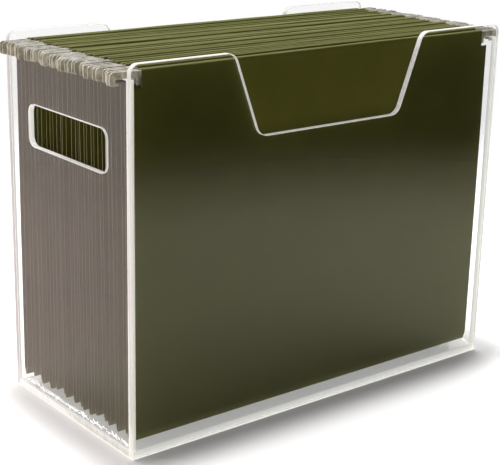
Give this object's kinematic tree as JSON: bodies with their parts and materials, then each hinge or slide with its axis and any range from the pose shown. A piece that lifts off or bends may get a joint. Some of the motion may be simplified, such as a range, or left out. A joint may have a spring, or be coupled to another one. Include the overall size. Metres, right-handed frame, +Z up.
{
  "type": "hanging file rack",
  "caption": "Clear acrylic desk box with notched front and back and a hand slot in each side, holding olive paper hanging folders whose rod hooks rest on the side panels and lift out.",
  "frame": {"origin": "middle of the box's underside, on the surface it stands on", "axes": "+X along the front panel to the right, +Y from front to back, +Z up"},
  "size_m": [0.332, 0.1466, 0.248],
  "materials": {
    "acrylic": "polished",
    "folder_paper": "matte",
    "coated_rod": "satin"
  },
  "bodies": {
    "box": {"front_panel": "acrylic", "back_panel": "acrylic", "left_panel": "acrylic", "right_panel": "acrylic", "bottom_panel": "acrylic"},
    "folder_01": {"folder_01_paper": "folder_paper", "folder_01_front_rod": "coated_rod", "folder_01_back_rod": "coated_rod"},
    "folder_02": {"folder_02_paper": "folder_paper", "folder_02_front_rod": "coated_rod", "folder_02_back_rod": "coated_rod"},
    "folder_03": {"folder_03_paper": "folder_paper", "folder_03_front_rod": "coated_rod", "folder_03_back_rod": "coated_rod"},
    "folder_04": {"folder_04_paper": "folder_paper", "folder_04_front_rod": "coated_rod", "folder_04_back_rod": "coated_rod"},
    "folder_05": {"folder_05_paper": "folder_paper", "folder_05_front_rod": "coated_rod", "folder_05_back_rod": "coated_rod"},
    "folder_06": {"folder_06_paper": "folder_paper", "folder_06_front_rod": "coated_rod", "folder_06_back_rod": "coated_rod"},
    "folder_07": {"folder_07_paper": "folder_paper", "folder_07_front_rod": "coated_rod", "folder_07_back_rod": "coated_rod"},
    "folder_08": {"folder_08_paper": "folder_paper", "folder_08_front_rod": "coated_rod", "folder_08_back_rod": "coated_rod"},
    "folder_09": {"folder_09_paper": "folder_paper", "folder_09_front_rod": "coated_rod", "folder_09_back_rod": "coated_rod"},
    "folder_10": {"folder_10_paper": "folder_paper", "folder_10_front_rod": "coated_rod", "folder_10_back_rod": "coated_rod"},
    "folder_11": {"folder_11_paper": "folder_paper", "folder_11_front_rod": "coated_rod", "folder_11_back_rod": "coated_rod"},
    "folder_12": {"folder_12_paper": "folder_paper", "folder_12_front_rod": "coated_rod", "folder_12_back_rod": "coated_rod"},
    "folder_13": {"folder_13_paper": "folder_paper", "folder_13_front_rod": "coated_rod", "folder_13_back_rod": "coated_rod"},
    "folder_14": {"folder_14_paper": "folder_paper", "folder_14_front_rod": "coated_rod", "folder_14_back_rod": "coated_rod"},
    "folder_15": {"folder_15_paper": "folder_paper", "folder_15_front_rod": "coated_rod", "folder_15_back_rod": "coated_rod"},
    "folder_16": {"folder_16_paper": "folder_paper", "folder_16_front_rod": "coated_rod", "folder_16_back_rod": "coated_rod"},
    "folder_17": {"folder_17_paper": "folder_paper", "folder_17_front_rod": "coated_rod", "folder_17_back_rod": "coated_rod"},
    "folder_18": {"folder_18_paper": "folder_paper", "folder_18_front_rod": "coated_rod", "folder_18_back_rod": "coated_rod"}
  },
  "joints": [
    {"name": "folder_01_lift", "type": "slide", "parent": "box", "child": "folder_01", "axis": [0, 0, 1], "range_m": [0, 0.25]},
    {"name": "folder_02_lift", "type": "slide", "parent": "box", "child": "folder_02", "axis": [0, 0, 1], "range_m": [0, 0.25]},
    {"name": "folder_03_lift", "type": "slide", "parent": "box", "child": "folder_03", "axis": [0, 0, 1], "range_m": [0, 0.25]},
    {"name": "folder_04_lift", "type": "slide", "parent": "box", "child": "folder_04", "axis": [0, 0, 1], "range_m": [0, 0.25]},
    {"name": "folder_05_lift", "type": "slide", "parent": "box", "child": "folder_05", "axis": [0, 0, 1], "range_m": [0, 0.25]},
    {"name": "folder_06_lift", "type": "slide", "parent": "box", "child": "folder_06", "axis": [0, 0, 1], "range_m": [0, 0.25]},
    {"name": "folder_07_lift", "type": "slide", "parent": "box", "child": "folder_07", "axis": [0, 0, 1], "range_m": [0, 0.25]},
    {"name": "folder_08_lift", "type": "slide", "parent": "box", "child": "folder_08", "axis": [0, 0, 1], "range_m": [0, 0.25]},
    {"name": "folder_09_lift", "type": "slide", "parent": "box", "child": "folder_09", "axis": [0, 0, 1], "range_m": [0, 0.25]},
    {"name": "folder_10_lift", "type": "slide", "parent": "box", "child": "folder_10", "axis": [0, 0, 1], "range_m": [0, 0.25]},
    {"name": "folder_11_lift", "type": "slide", "parent": "box", "child": "folder_11", "axis": [0, 0, 1], "range_m": [0, 0.25]},
    {"name": "folder_12_lift", "type": "slide", "parent": "box", "child": "folder_12", "axis": [0, 0, 1], "range_m": [0, 0.25]},
    {"name": "folder_13_lift", "type": "slide", "parent": "box", "child": "folder_13", "axis": [0, 0, 1], "range_m": [0, 0.25]},
    {"name": "folder_14_lift", "type": "slide", "parent": "box", "child": "folder_14", "axis": [0, 0, 1], "range_m": [0, 0.25]},
    {"name": "folder_15_lift", "type": "slide", "parent": "box", "child": "folder_15", "axis": [0, 0, 1], "range_m": [0, 0.25]},
    {"name": "folder_16_lift", "type": "slide", "parent": "box", "child": "folder_16", "axis": [0, 0, 1], "range_m": [0, 0.25]},
    {"name": "folder_17_lift", "type": "slide", "parent": "box", "child": "folder_17", "axis": [0, 0, 1], "range_m": [0, 0.25]},
    {"name": "folder_18_lift", "type": "slide", "parent": "box", "child": "folder_18", "axis": [0, 0, 1], "range_m": [0, 0.25]}
  ]
}
